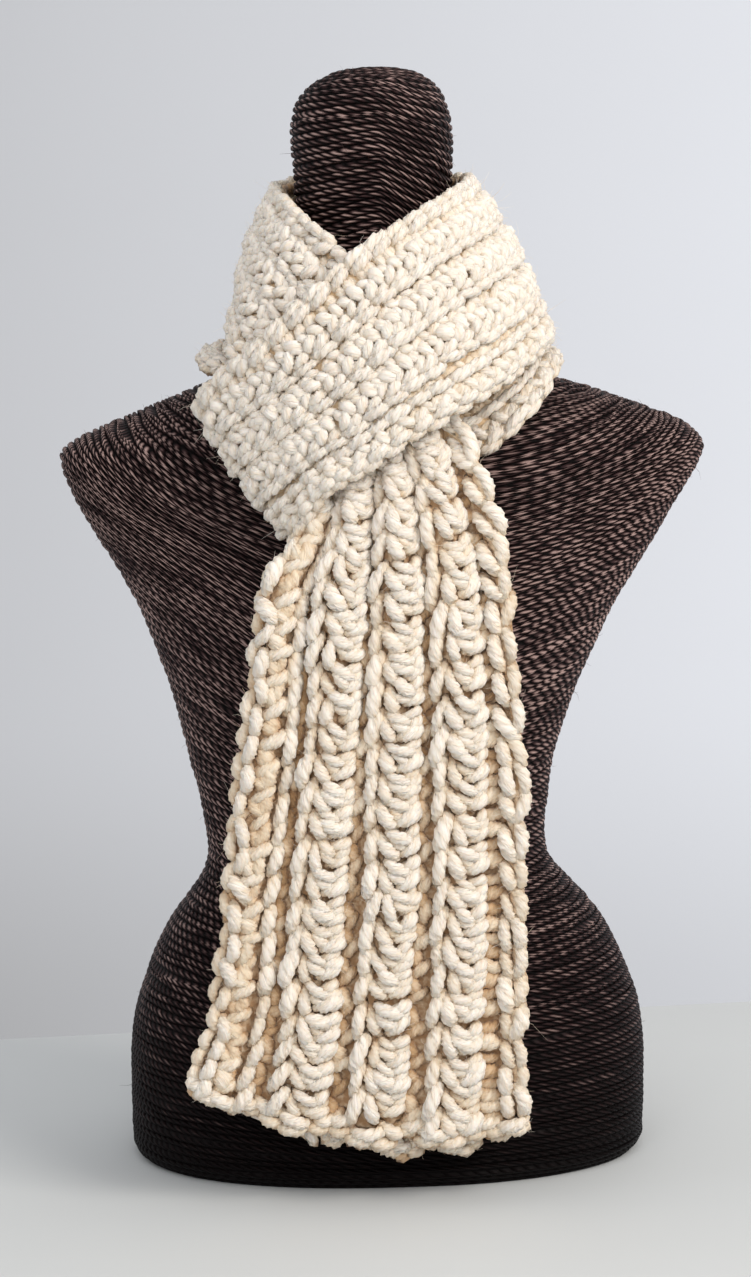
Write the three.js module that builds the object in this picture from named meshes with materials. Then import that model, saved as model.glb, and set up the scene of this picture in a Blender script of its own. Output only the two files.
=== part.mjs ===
// A ribbed crochet scarf looped round the neck of a limbless dress form.
// Millimetres, +Z up, the form faces -Y and +X is its left hand side, which a viewer sees on the right.
// The origin is the middle of the form's flat base. The scarf is folded in half across its length: the fold
// is a loop that crosses the chest, and both tails come round the other side of the neck and hang through it.
import * as THREE from "three";

// Driving sizes.
const clothThickness = 10; // two strands of a very thick yarn
const seamGap = 0.3; // between one stretch of the scarf and the next
const stationStep = 13; // along a stretch, from one ring of its wall to the next
const wallColumns = 9; // points across the scarf on each face, its rounded edges apart
const foldSteps = 8; // fewest rings to a stretch, and the count round the bend of the loop
const foldReach = 22; // how far the bend of the loop carries on from the two stretches
const slopeStep = 1e-3; // of a stretch's length or width, for the surface's slope
const formColumns = 48; // points round the dress form
const bustReach = 42;
const bustSwell = 12;
const bustHalfSpread = 60;
const bustHeight = 316;

// ---- The dress form: level sections from its base to the top of its neck ----
// halfWidth is at the sides, front and back are the depths from the middle, lean moves the section in X,
// and square is the power of the section's curve: 2 is an ellipse, and more is squarer.
const formColumnNames = ["z", "halfWidth", "front", "back", "lean", "square"];
const formSections = [
  [0, 143, 90, 88, 6, 2.3],
  [5, 148, 95, 93, 6, 2.3],
  [16, 149.5, 98, 96, 6, 2.3],
  [40, 150, 99, 98, 6, 2.3],
  [67, 149.5, 99, 99, 6, 2.3],
  [91, 145.5, 97, 98, 6, 2.3],
  [102, 141.5, 93, 95, 6, 2.3],
  [114, 137, 88, 91, 5.5, 2.3],
  [126, 131.5, 83, 86, 5.5, 2.25],
  [138, 124.5, 78, 80, 5, 2.2],
  [149, 116, 73, 74, 4.5, 2.2],
  [161, 106, 68, 68, 3, 2.2],
  [172, 99.5, 64, 63, 1, 2.2],
  [184, 98, 62.5, 60, 0, 2.2],
  [195, 99, 63, 60, -1, 2.2],
  [206, 100.5, 64, 60, -1, 2.2],
  [230, 105, 69, 62, -2.5, 2.2],
  [253, 111, 74, 65, -2, 2.25],
  [276, 118, 79, 68, -1, 2.3],
  [299, 127.5, 81, 70, 0, 2.3],
  [322, 137.5, 80, 71, 1, 2.35],
  [345, 151, 76, 70, 2, 2.4],
  [368, 165, 69, 67, 2, 2.5],
  [380, 172, 65, 64, 2, 2.6],
  [392, 178.5, 62, 61, 3, 2.6],
  [403, 183.5, 59.5, 58, 4.5, 2.5],
  [411, 184.5, 58, 57, 6, 2.4],
  [418, 178, 56, 55, 9, 2.3],
  [425, 166, 54, 53, 12, 2.2],
  [431, 151, 53, 52, 12, 2.2],
  [438, 133, 52, 51, 11, 2.1],
  [445, 114, 51, 50, 9, 2],
  [451, 96, 50, 50, 5, 2],
  [458, 78, 49.5, 50, 2, 2],
  [468, 63, 49, 50, 0, 2],
  [482, 52, 48, 49, 0, 2],
  [500, 47, 46.5, 47.5, 0, 2],
  [522, 45, 45, 46, 0, 2],
  [560, 44.5, 44.5, 45, 0, 2],
  [598, 44.5, 44.5, 44.5, -1, 2],
  [607, 42, 42, 42, -1, 2],
  [614, 37, 37, 37, 0, 2],
  [620, 29, 29, 29, 1, 2],
  [624, 18, 18, 18, 2, 2],
  [625.5, 7, 7, 7, 2, 2],
];

// ---- The scarf: two halves of one strip, each a table of stations from the bend of the loop to a tail's end ----
// Each station has three points across the scarf. The first edge is the upper one round the neck and the
// right hand one on the tails, and the second edge is the other.
const stationColumns = ["x1", "y1", "z1", "xMid", "yMid", "zMid", "x2", "y2", "z2"];

const outerHalf = [
  // across the chest, from the bend up to the neck
  [-90, -72, 455, -70, -91, 418, -43, -105, 381],
  [-73, -85, 471, -50, -103, 432, -34, -113, 393],
  [-50, -92, 494, -28, -108, 449, -18, -118, 403],
  [-21, -88, 517, -2, -108, 471, 11, -116, 423],
  [9, -76, 537, 24, -97, 490, 43, -102, 440],
  [30, -56, 550, 48, -76, 503, 67, -78, 452],
  [44, -30, 558, 68, -41, 515, 88, -45, 466],
  [51, 0, 562, 76, 0, 523, 97, 0, 475],
  // round the back of the neck
  [45, 30, 564, 64, 38, 523, 82, 43, 474],
  [28, 49, 566, 37, 62, 522, 48, 70, 467],
  [0, 57, 567, 0, 70, 521, 0, 80, 466],
  [-28, 49, 565, -38, 61, 523, -46, 70, 472],
  [-45, 32, 561, -59, 38, 524, -66, 46, 482],
  [-50, 8, 557, -66, 4, 524, -73, 0, 487],
  // down the side of the neck and through the loop
  [-45, -30, 547, -66, -32, 512, -78, -33, 478],
  [-38, -50, 537, -60, -60, 497, -79, -65, 462],
  [-22, -66, 520, -46, -78, 473, -64, -80, 442],
  [5, -78, 482, -24, -91, 440, -51, -87, 412],
  [30, -88, 444, -10, -97, 414, -45, -92, 397],
  [45, -97, 417, -2, -105, 396, -41, -93, 386],
  // the front tail
  [54, -105, 388, -2, -111, 370, -52, -99, 362],
  [61, -110, 358, -3, -115, 342, -69, -106, 338],
  [66, -114, 318, -4, -118, 306, -74, -107, 306],
  [70, -116, 267, -5, -120, 262, -80, -109, 262],
  [71, -118, 212, -8, -121, 210, -87, -111, 214],
  [73, -119, 145, -11, -122, 148, -95, -113, 152],
  [71, -120, 90, -14, -123, 95, -103, -115, 104],
  [72, -120, 42, -22, -123, 39, -113, -116, 68],
];

const innerHalf = [
  // across the chest under the tails
  [-84, -47, 442, -64, -62, 412, -40, -72, 380],
  [-60, -49, 454, -42, -58, 426, -28, -72, 392],
  [-36, -51, 473, -20, -57, 441, -8, -69, 402],
  [-10, -54, 493, 6, -57, 455, 18, -67, 406],
  [18, -52, 512, 34, -56, 465, 53, -68, 410],
  [38, -38, 525, 58, -45, 478, 84, -61, 433],
  [50, -16, 530, 68, -22, 485, 100, -33, 453],
  [55, 4, 531, 68, 4, 487, 106, 0, 459],
  // round the back of the neck
  [47, 30, 530, 56, 33, 488, 85, 38, 459],
  [30, 46, 528, 37, 52, 490, 50, 60, 457],
  [0, 54, 525, 0, 60, 490, 0, 66, 456],
  [-30, 46, 523, -37, 52, 489, -50, 60, 457],
  [-47, 29, 521, -54, 32, 488, -80, 42, 459],
  [-54, 6, 519, -60, 4, 486, -95, 2, 463],
  // down the side of the neck and through the loop
  [-50, -26, 513, -60, -32, 476, -99, -35, 457],
  [-42, -47, 503, -56, -60, 465, -75, -62, 449],
  [-26, -60, 489, -42, -70, 450, -60, -70, 424],
  [-4, -67, 468, -22, -79, 428, -48, -80, 404],
  [20, -76, 438, -10, -86, 406, -42, -81, 391],
  [36, -85, 414, -4, -93, 394, -38, -82, 380],
  // the rear tail
  [48, -92, 386, -3, -99, 370, -48, -88, 360],
  [57, -98, 356, -3, -103, 342, -62, -94, 336],
  [63, -102, 318, -4, -106, 306, -70, -95, 306],
  [67, -104, 267, -5, -108, 262, -76, -97, 262],
  [68, -106, 212, -8, -109, 210, -82, -99, 214],
  [70, -107, 140, -10, -110, 142, -88, -101, 148],
  [68, -108, 84, -12, -111, 84, -94, -103, 98],
  [62, -108, 38, -2, -111, 28, -92, -104, 58],
];

// The stations where each stretch of a half starts and ends.
const stretchRanges = {
  loop_front: { half: outerHalf, first: 0, last: 7 },
  nape_outer: { half: outerHalf, first: 7, last: 13 },
  side_outer: { half: outerHalf, first: 13, last: 19 },
  tail_front: { half: outerHalf, first: 19, last: 27 },
  loop_under: { half: innerHalf, first: 0, last: 7 },
  nape_inner: { half: innerHalf, first: 7, last: 13 },
  side_inner: { half: innerHalf, first: 13, last: 19 },
  tail_rear: { half: innerHalf, first: 19, last: 27 },
};

const cream = { color: "#efe6d6", roughness: 0.92, metalness: 0 };
const darkTwine = { color: "#231814", roughness: 0.8, metalness: 0 };

// ---- Curves and surfaces ----

// The three points of one station, and a parabola through them: v is 0 at the first edge and 1 at the second.
function stationPoints(row) {
  return ["x1", "xMid", "x2"].map((name) => {
    const at = stationColumns.indexOf(name);
    return new THREE.Vector3(row[at], row[at + 1], row[at + 2]);
  });
}

function pointAcross([edge1, middle, edge2], v) {
  return new THREE.Vector3()
    .addScaledVector(edge1, (1 - v) * (1 - 2 * v))
    .addScaledVector(middle, 4 * v * (1 - v))
    .addScaledVector(edge2, v * (2 * v - 1));
}

// A smooth surface through some of a half's stations, with u from 0 to 1 along the scarf and v across it.
function stretchSurface({ half, first, last }) {
  const stations = half.map(stationPoints);
  const curves = stations[0].map(
    (_, i) =>
      new THREE.CatmullRomCurve3(
        stations.map((points) => points[i]),
        false,
        "catmullrom",
        0.5,
      ),
  );
  const at = (u, v) => {
    const place = (first + (last - first) * u) / (half.length - 1);
    const inside = THREE.MathUtils.clamp(place, 0, 1);
    return pointAcross(
      curves.map((curve) => curve.getPoint(inside)),
      v,
    );
  };
  const steps = 4 * (last - first);
  let runLength = 0;
  for (let i = 0; i < steps; i++) runLength += at(i / steps, 0.5).distanceTo(at((i + 1) / steps, 0.5));
  return { at, runLength };
}

// The bend of the loop: it leaves the front stretch and comes back to the under one in their own directions.
function foldSurface(frontStretch, underStretch) {
  const at = (u, v) => {
    const start = frontStretch.at(0, v);
    const end = underStretch.at(0, v);
    const outwards = (stretch, from) => {
      const inner = stretch.at(slopeStep, v);
      return from.clone().add(from.clone().sub(inner).setLength(foldReach));
    };
    return new THREE.CubicBezierCurve3(
      start,
      outwards(frontStretch, start),
      outwards(underStretch, end),
      end,
    ).getPoint(u);
  };
  const runLength = at(0, 0.5).distanceTo(at(0.5, 0.5)) + at(0.5, 0.5).distanceTo(at(1, 0.5));
  return { at, runLength };
}

function normalAt(surface, u, v) {
  const slopeOf = (u1, v1, u2, v2) => surface.at(u2, v2).sub(surface.at(u1, v1));
  const along = slopeOf(u - slopeStep, v, u + slopeStep, v);
  const across = slopeOf(u, v - slopeStep, u, v + slopeStep);
  return along.cross(across).normalize();
}

// Joins rings of points into one closed solid. Each ring is even in count and symmetric about the line from its
// first point to its middle one, so a ladder of triangles from side to side closes each end.
function closedLoft(rings) {
  const count = rings[0].length;
  const faces = [];
  for (let start = 0; start + count < count * rings.length; start += count) {
    for (let i = 0; i < count; i++) {
      const a = start + i;
      const b = start + ((i + 1) % count);
      faces.push(a, b, b + count, a, b + count, a + count);
    }
  }
  const lastRing = (rings.length - 1) * count;
  const addToEnds = (a, b, c) => faces.push(a, c, b, lastRing + a, lastRing + b, lastRing + c);
  for (let i = 0; i < count / 2; i++) {
    const across = count - i;
    if (i > 0) addToEnds(i, i + 1, across);
    if (i + 1 < count / 2) addToEnds(i + 1, across - 1, across % count);
  }
  const geometry = new THREE.BufferGeometry().setFromPoints(rings.flat());
  geometry.setIndex(faces);
  geometry.computeVertexNormals();
  return geometry;
}

// Places across the wall, from one rounded edge to the other: v, and the wall's thickness there as a share.
function placesAcross(width) {
  const edge = clothThickness / 2 / width;
  const round = [45, 90].map((degrees) => {
    const turn = THREE.MathUtils.degToRad(degrees);
    return { v: edge * (1 - Math.cos(turn)), share: Math.sin(turn) };
  });
  const flat = Array.from({ length: wallColumns - 2 }, (_, i) => ({
    v: edge + ((1 - 2 * edge) * (i + 1)) / (wallColumns - 1),
    share: 1,
  }));
  const mirrored = round.map((place) => ({ v: 1 - place.v, share: place.share })).reverse();
  return [...round, ...flat, ...mirrored];
}

// The thick wall of cloth about a stretch's middle surface.
function clothWall(surface) {
  const trim = seamGap / 2 / surface.runLength;
  const rings = [];
  const steps = Math.max(foldSteps, Math.round(surface.runLength / stationStep));
  for (let step = 0; step <= steps; step++) {
    const u = trim + ((1 - 2 * trim) * step) / steps;
    const width = surface.at(u, 0).distanceTo(surface.at(u, 1));
    const places = placesAcross(width);
    const side = (sign) => (place) =>
      surface.at(u, place.v).addScaledVector(normalAt(surface, u, place.v), (sign * place.share * clothThickness) / 2);
    rings.push([surface.at(u, 0), ...places.map(side(-1)), surface.at(u, 1), ...places.map(side(1)).reverse()]);
  }
  return closedLoft(rings);
}

function formPoint(section, turn) {
  const power = 2 / section.square;
  const c = Math.cos(turn);
  const s = Math.sin(turn);
  const x = section.lean + section.halfWidth * Math.sign(c) * Math.abs(c) ** power;
  const depth = s < 0 ? section.front : section.back;
  let y = depth * Math.sign(s) * Math.abs(s) ** power;
  const aside = (Math.abs(x - section.lean) - bustHalfSpread) / bustReach;
  const above = (section.z - bustHeight) / bustReach;
  if (s < 0) y += bustSwell * s * Math.exp(-aside * aside - above * above);
  return new THREE.Vector3(x, y, section.z);
}

function formGeometry() {
  const rings = formSections.map((row) => {
    const section = Object.fromEntries(formColumnNames.map((name, i) => [name, row[i]]));
    return Array.from({ length: formColumns }, (_, i) => formPoint(section, (2 * Math.PI * i) / formColumns));
  });
  return closedLoft(rings);
}

// ---- The parts ----

const scarfOnForm = new THREE.Group();

function addPart(name, geometry, look) {
  const mesh = new THREE.Mesh(geometry, new THREE.MeshStandardMaterial(look));
  mesh.name = name;
  scarfOnForm.add(mesh);
}

addPart("dress_form", formGeometry(), darkTwine);

const stretches = Object.fromEntries(
  Object.entries(stretchRanges).map(([name, range]) => [name, stretchSurface(range)]),
);
stretches.loop_fold = foldSurface(stretches.loop_front, stretches.loop_under);
for (const [name, surface] of Object.entries(stretches)) {
  addPart(name, clothWall(surface), cream);
}

export default scarfOnForm;
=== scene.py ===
import math

import bpy
import numpy as np
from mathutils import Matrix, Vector


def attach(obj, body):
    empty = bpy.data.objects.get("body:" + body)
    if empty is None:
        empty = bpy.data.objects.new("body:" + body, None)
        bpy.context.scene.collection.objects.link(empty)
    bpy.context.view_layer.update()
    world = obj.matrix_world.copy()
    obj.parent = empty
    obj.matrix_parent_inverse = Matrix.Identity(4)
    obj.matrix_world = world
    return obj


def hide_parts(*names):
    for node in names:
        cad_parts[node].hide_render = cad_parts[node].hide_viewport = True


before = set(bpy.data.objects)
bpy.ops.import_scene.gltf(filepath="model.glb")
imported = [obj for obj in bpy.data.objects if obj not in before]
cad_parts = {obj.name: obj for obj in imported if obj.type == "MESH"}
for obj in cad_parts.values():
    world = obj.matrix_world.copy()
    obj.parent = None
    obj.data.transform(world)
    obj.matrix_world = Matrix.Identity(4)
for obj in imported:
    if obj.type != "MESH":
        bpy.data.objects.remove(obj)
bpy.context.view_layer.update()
mm = 0.001
randomDraw = np.random.default_rng(36)


def toLinear(hexColour):
    parts = [int(hexColour[i : i + 2], 16) / 255 for i in (1, 3, 5)]
    return [p / 12.92 if p <= 0.04045 else ((p + 0.055) / 1.055) ** 2.4 for p in parts] + [1.0]


def feed(tree, node, inputs):
    # by socket name or number: a plain value sets the socket, and a node or one of its outputs is linked
    for key, value in inputs.items() if isinstance(inputs, dict) else enumerate(inputs):
        if isinstance(value, bpy.types.Node):
            value = value.outputs[0]
        if isinstance(value, bpy.types.NodeSocket):
            tree.links.new(value, node.inputs[key])
        else:
            node.inputs[key].default_value = value
    return node


def addNode(tree, kind, inputs=(), stops=(), **settings):
    # stops are the places of a ramp with their linear colours, from the lowest place up
    node = tree.nodes.new("ShaderNode" + kind)
    for name, value in settings.items():
        setattr(node, name, value)
    for _ in stops[2:]:
        node.color_ramp.elements.new(0.5)
    for i, (place, colour) in enumerate(stops):
        node.color_ramp.elements[i].position = place
        node.color_ramp.elements[i].color = colour
    return feed(tree, node, inputs)


def newMaterial(name):
    material = bpy.data.materials.new(name)
    material.use_nodes = True
    return material, material.node_tree, material.node_tree.nodes["Principled BSDF"]


def smoothStep(low, high, value):
    t = np.clip((np.asarray(value, float) - low) / (high - low), 0, 1)
    return t * t * (3 - 2 * t)


def unit(vectors):
    return vectors / np.maximum(np.linalg.norm(vectors, axis=-1, keepdims=True), 1e-12)


def splinePoints(points, place):
    # uniform Catmull-Rom through points[0..n-1], ends carried on straight
    ends = [2 * points[:1] - points[1:2], points, 2 * points[-1:] - points[-2:-1]]
    padded = np.concatenate(ends)
    i = np.clip(np.floor(place).astype(int), 0, len(points) - 2)
    f = (place - i).reshape(place.shape + (1,) * (points.ndim - 1))
    a, b, c, d = padded[i], padded[i + 1], padded[i + 2], padded[i + 3]
    return 0.5 * (2 * b + (c - a) * f + (2 * a - 5 * b + 4 * c - d) * f**2 + (3 * b - a - 3 * c + d) * f**3)


def meshFrom(name, verts, quads, fans=()):
    # quads is (n, 4); fans is a list of (n, k) arrays of longer faces
    mesh = bpy.data.meshes.new(name)
    faceArrays = [quads, *fans]
    loops = np.concatenate([faces.reshape(-1) for faces in faceArrays])
    sizes = np.concatenate([np.full(len(faces), faces.shape[1]) for faces in faceArrays])
    mesh.vertices.add(len(verts))
    mesh.vertices.foreach_set("co", verts.reshape(-1).astype(np.float32))
    mesh.loops.add(len(loops))
    mesh.loops.foreach_set("vertex_index", loops.astype(np.int32))
    mesh.polygons.add(len(sizes))
    mesh.polygons.foreach_set("loop_start", np.concatenate([[0], np.cumsum(sizes)[:-1]]).astype(np.int32))
    mesh.update(calc_edges=True)
    mesh.polygons.foreach_set("use_smooth", np.ones(len(sizes), bool))
    piece = bpy.data.objects.new(name, mesh)
    bpy.context.scene.collection.objects.link(piece)
    return piece


def tubeFaces(number):
    # number holds the vertices' numbers by tube, ring and side: quads round the tubes, and their end faces
    onward = np.roll(number, -1, axis=2)
    quads = np.stack([number[:, :-1], onward[:, :-1], onward[:, 1:], number[:, 1:]], axis=-1)
    return quads.reshape(-1, 4), np.concatenate([number[:, 0, ::-1], number[:, -1]])


def giveUv(piece, name, corners):
    layer = piece.data.uv_layers.new(name=name)
    layer.data.foreach_set("uv", corners.reshape(-1).astype(np.float32))


def giveValue(piece, name, values):
    attribute = piece.data.attributes.new(name, "FLOAT", "POINT")
    attribute.data.foreach_set("value", values.reshape(-1).astype(np.float32))


# The scarf's course, in mm: 28 stations for each half from the fold to its tail. Each row holds x, y, z of
# the upper or viewer's right edge, of the middle and of the other edge.
outerHalf = np.array(
    [
        [-90, -72, 455, -70, -91, 418, -43, -105, 381],
        [-73, -85, 471, -50, -103, 432, -34, -113, 393],
        [-50, -92, 494, -28, -108, 449, -18, -118, 403],
        [-21, -88, 517, -2, -108, 471, 11, -116, 423],
        [9, -76, 537, 24, -97, 490, 43, -102, 440],
        [30, -56, 550, 48, -76, 503, 67, -78, 452],
        [44, -30, 558, 68, -41, 515, 88, -45, 466],
        [51, 0, 562, 76, 0, 523, 97, 0, 475],
        [45, 30, 564, 64, 38, 523, 82, 43, 474],
        [28, 49, 566, 37, 62, 522, 48, 70, 467],
        [0, 57, 567, 0, 70, 521, 0, 80, 466],
        [-28, 49, 565, -38, 61, 523, -46, 70, 472],
        [-45, 32, 561, -59, 38, 524, -66, 46, 482],
        [-50, 8, 557, -66, 4, 524, -73, 0, 487],
        [-45, -30, 547, -66, -32, 512, -78, -33, 478],
        [-38, -50, 537, -60, -60, 497, -79, -65, 462],
        [-22, -66, 520, -46, -78, 473, -64, -80, 442],
        [5, -78, 482, -24, -91, 440, -51, -87, 412],
        [30, -88, 444, -10, -97, 414, -45, -92, 397],
        [45, -97, 417, -2, -105, 396, -41, -93, 386],
        [54, -105, 388, -2, -111, 370, -52, -99, 362],
        [61, -110, 358, -3, -115, 342, -69, -106, 338],
        [66, -114, 318, -4, -118, 306, -74, -107, 306],
        [70, -116, 267, -5, -120, 262, -80, -109, 262],
        [71, -118, 212, -8, -121, 210, -87, -111, 214],
        [73, -119, 145, -11, -122, 148, -95, -113, 152],
        [71, -120, 90, -14, -123, 95, -103, -115, 104],
        [72, -120, 42, -22, -123, 39, -113, -116, 68],
    ],
    float,
)
innerHalf = np.array(
    [
        [-84, -47, 442, -64, -62, 412, -40, -72, 380],
        [-60, -49, 454, -42, -58, 426, -28, -72, 392],
        [-36, -51, 473, -20, -57, 441, -8, -69, 402],
        [-10, -54, 493, 6, -57, 455, 18, -67, 406],
        [18, -52, 512, 34, -56, 465, 53, -68, 410],
        [38, -38, 525, 58, -45, 478, 84, -61, 433],
        [50, -16, 530, 68, -22, 485, 100, -33, 453],
        [55, 4, 531, 68, 4, 487, 106, 0, 459],
        [47, 30, 530, 56, 33, 488, 85, 38, 459],
        [30, 46, 528, 37, 52, 490, 50, 60, 457],
        [0, 54, 525, 0, 60, 490, 0, 66, 456],
        [-30, 46, 523, -37, 52, 489, -50, 60, 457],
        [-47, 29, 521, -54, 32, 488, -80, 42, 459],
        [-54, 6, 519, -60, 4, 486, -95, 2, 463],
        [-50, -26, 513, -60, -32, 476, -99, -35, 457],
        [-42, -47, 503, -56, -60, 465, -75, -62, 449],
        [-26, -60, 489, -42, -70, 450, -60, -70, 424],
        [-4, -67, 468, -22, -79, 428, -48, -80, 404],
        [20, -76, 438, -10, -86, 406, -42, -81, 391],
        [36, -85, 414, -4, -93, 394, -38, -82, 380],
        [48, -92, 386, -3, -99, 370, -48, -88, 360],
        [57, -98, 356, -3, -103, 342, -62, -94, 336],
        [63, -102, 318, -4, -106, 306, -70, -95, 306],
        [67, -104, 267, -5, -108, 262, -76, -97, 262],
        [68, -106, 212, -8, -109, 210, -82, -99, 214],
        [70, -107, 140, -10, -110, 142, -88, -101, 148],
        [68, -108, 84, -12, -111, 84, -94, -103, 98],
        [62, -108, 38, -2, -111, 28, -92, -104, 58],
    ],
    float,
)
lastStation = len(outerHalf) - 1
tailStation = 19  # where the tails leave the loop
stepsPerStation = 24
slopeStep = 2e-3  # of a station, for the slopes of the course
frameStep = 0.6  # mm, for the slopes of the gathered cloth
# the bend: how far its curve reaches past its ends in mm, the share of a station that gives its direction
# there, how much of it stands for one station, and its steps
bend = {"reach": 22.0, "inside": 7e-3, "perStation": 0.2, "steps": 60}


def acrossPoint(trio, v):
    # a parabola through the three points of a station
    v = v[..., None]
    first, middle, last = (trio[..., i, :] for i in range(3))
    return first * (1 - v) * (1 - 2 * v) + middle * 4 * v * (1 - v) + last * v * (2 * v - 1)


def stationPoint(table, u, v):
    return acrossPoint(splinePoints(table.reshape(-1, 3, 3), u), v)


def foldPoint(t, v):
    # the bend of the loop, t = 0 at the front stretch and 1 at the one under it
    ends = []
    for table in (outerHalf, innerHalf):
        start = stationPoint(table, np.zeros_like(v), v)
        inside = stationPoint(table, np.full_like(v, bend["inside"]), v)
        ends.append((start, start + bend["reach"] * unit(start - inside)))
    (a, b), (d, c) = ends
    t = t[..., None]
    return a * (1 - t) ** 3 + 3 * b * t * (1 - t) ** 2 + 3 * c * t**2 * (1 - t) + d * t**3


def courseOf(table):
    # run of the middle line against the station number
    fine = np.linspace(0, lastStation, lastStation * stepsPerStation + 1)
    middle = stationPoint(table, fine, np.full_like(fine, 0.5))
    run = np.concatenate([[0], np.cumsum(np.linalg.norm(np.diff(middle, axis=0), axis=1))])
    return {"table": table, "stations": fine, "run": run}


foldTimes = np.linspace(0, 1, bend["steps"])
foldLine = foldPoint(foldTimes, np.full_like(foldTimes, 0.5))
foldRun = float(np.linalg.norm(np.diff(foldLine, axis=0), axis=1).sum())
courses = {"outer": courseOf(outerHalf), "inner": courseOf(innerHalf)}


def runAt(half, station):
    return float(np.interp(station, courses[half]["stations"], courses[half]["run"]))


# The crochet on that course, in mm: along is the run from the fold, and across is from the tail's left edge.
crochet = {
    "rib": 37.0,  # one repeat across
    "crest": 47.0,  # a crest of the gathers, which follow the ribs
    "width": 160.0,
    "backingUnder": -2.6,
    "backingInset": 2.6,
    "backingStep": 6,
    "backingColumns": 52,
    "underside": 2.0,  # from the middle of the cloth to the strands on its back
    "steepest": 0.95,  # the most slope of the gathers
}
# backing is its height over the middle of the cloth; pitch is the run of one stitch; heights and fullness
# scale the strands' relief and thickness; open lifts the strands out of their painted shade, and shut
# deepens the painted shade of the backing in the gaps
layouts = {
    "neck": {
        "backing": 1.9,
        "pitch": 12.9,
        "heights": 0.86,
        "fullness": 0.88,
        "unevenness": 1.2,
        "valleyLift": 1.5,
        "open": 2.4,
        "shut": 0.2,
    },
    "tail": {
        "backing": 1.2,
        "pitch": 16.0,
        "heights": 1.0,
        "fullness": 1.01,
        "unevenness": 1.7,
        "valleyLift": 0.3,
        "open": -0.3,
        "shut": 0.85,
    },
}
ribTurn = 2 * math.pi / crochet["rib"]
# depth of the gathers by station: shallow round the neck, deep where the tail leaves the loop
gatherStations = [0, 7, 13, 16, 19, 20, 21, 22, 23, 25, 27]
gatherDepths = [0.9, 0.9, 1.4, 2.6, 5.5, 5.6, 5.0, 4.4, 3.8, 3.0, 2.6]
# strands lie flatter where the loop presses on them
pressedStations = [0, 16.5, 17.5, 20.0, 20.9, 27]
pressedShares = [1, 1, 0.62, 0.62, 1, 1]


def clothPoint(half, along, across):
    course = courses[half]
    width, crest = crochet["width"], crochet["crest"]
    along, across = np.broadcast_arrays(np.asarray(along, float), np.asarray(across, float))
    u = np.interp(along, course["run"], course["stations"])
    pastEnd = np.maximum(along - course["run"][-1], 0)
    depth = np.interp(u, gatherStations, gatherDepths)
    # the slopes of the gathers take up more cloth than their crests and valleys
    m = np.minimum(depth * ribTurn, crochet["steepest"]) ** 2 / 4
    sway = m / (1 - m) / (2 * ribTurn)

    def squeezed(w):
        return w + sway * np.sin(2 * ribTurn * (w - crest))

    zero = 0 * across
    v = 1 - (squeezed(across) - squeezed(zero)) / (squeezed(width) - squeezed(zero))
    pastFold = -along - foldRun
    innerPlace = np.interp(pastFold, courses["inner"]["run"], courses["inner"]["stations"])

    def plain(step, vv):
        point = stationPoint(course["table"], np.clip(u + step, 0, lastStation), vv)
        if half == "outer":
            turned = foldPoint(np.clip(-along / foldRun, 0, 1) - step * bend["perStation"], vv)
            under = stationPoint(innerHalf, innerPlace - step, vv)
            point = np.where((along < 0)[..., None], turned, point)
            point = np.where((pastFold > 0)[..., None], under, point)
        return point

    base = plain(0, v)
    slopeAlong = plain(slopeStep, v) - plain(-slopeStep, v)
    slopeAcross = plain(0, v + slopeStep) - plain(0, v - slopeStep)
    normal = unit(np.cross(slopeAcross, slopeAlong))
    ripple = depth * np.cos(ribTurn * (across - crest))
    return base + normal * ripple[..., None] + unit(slopeAlong) * pastEnd[..., None]


def rippleAt(half, along, across):
    station = np.interp(along, courses[half]["run"], courses[half]["stations"])
    depth = np.interp(station, gatherStations, gatherDepths)
    return depth * np.cos(ribTurn * (across - crochet["crest"]))


def clothFrame(half, along, across):
    # point and outward normal on the gathered cloth
    here = clothPoint(half, along, across)
    ahead = clothPoint(half, along + frameStep, across)
    aside = clothPoint(half, along, across + frameStep)
    return here, unit(np.cross(ahead - here, aside - here))


# the yarn's strands, each a tube with its plies on it
yarnShape = {
    "plies": 3,
    "lobe": 0.11,  # how far a ply bulges, as a share of the strand's radius
    "markGap": 6.4,  # mm of run from one groove to the next
    "startTurns": 7,  # a strand starts anywhere in this many grooves
    # the last four set the painted shade: strands lying deep, the gathers' valleys and the sides facing into
    # the cloth are painted warmer and darker
    "roundness": 0.75,  # how much the side of a strand counts as sunken
    "sunken": -2.5,  # mm over the middle of the cloth, from the deepest
    "proud": 9.0,  # to the highest
    "rippleShare": 0.3,  # how much the gathers count as height
}


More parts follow.
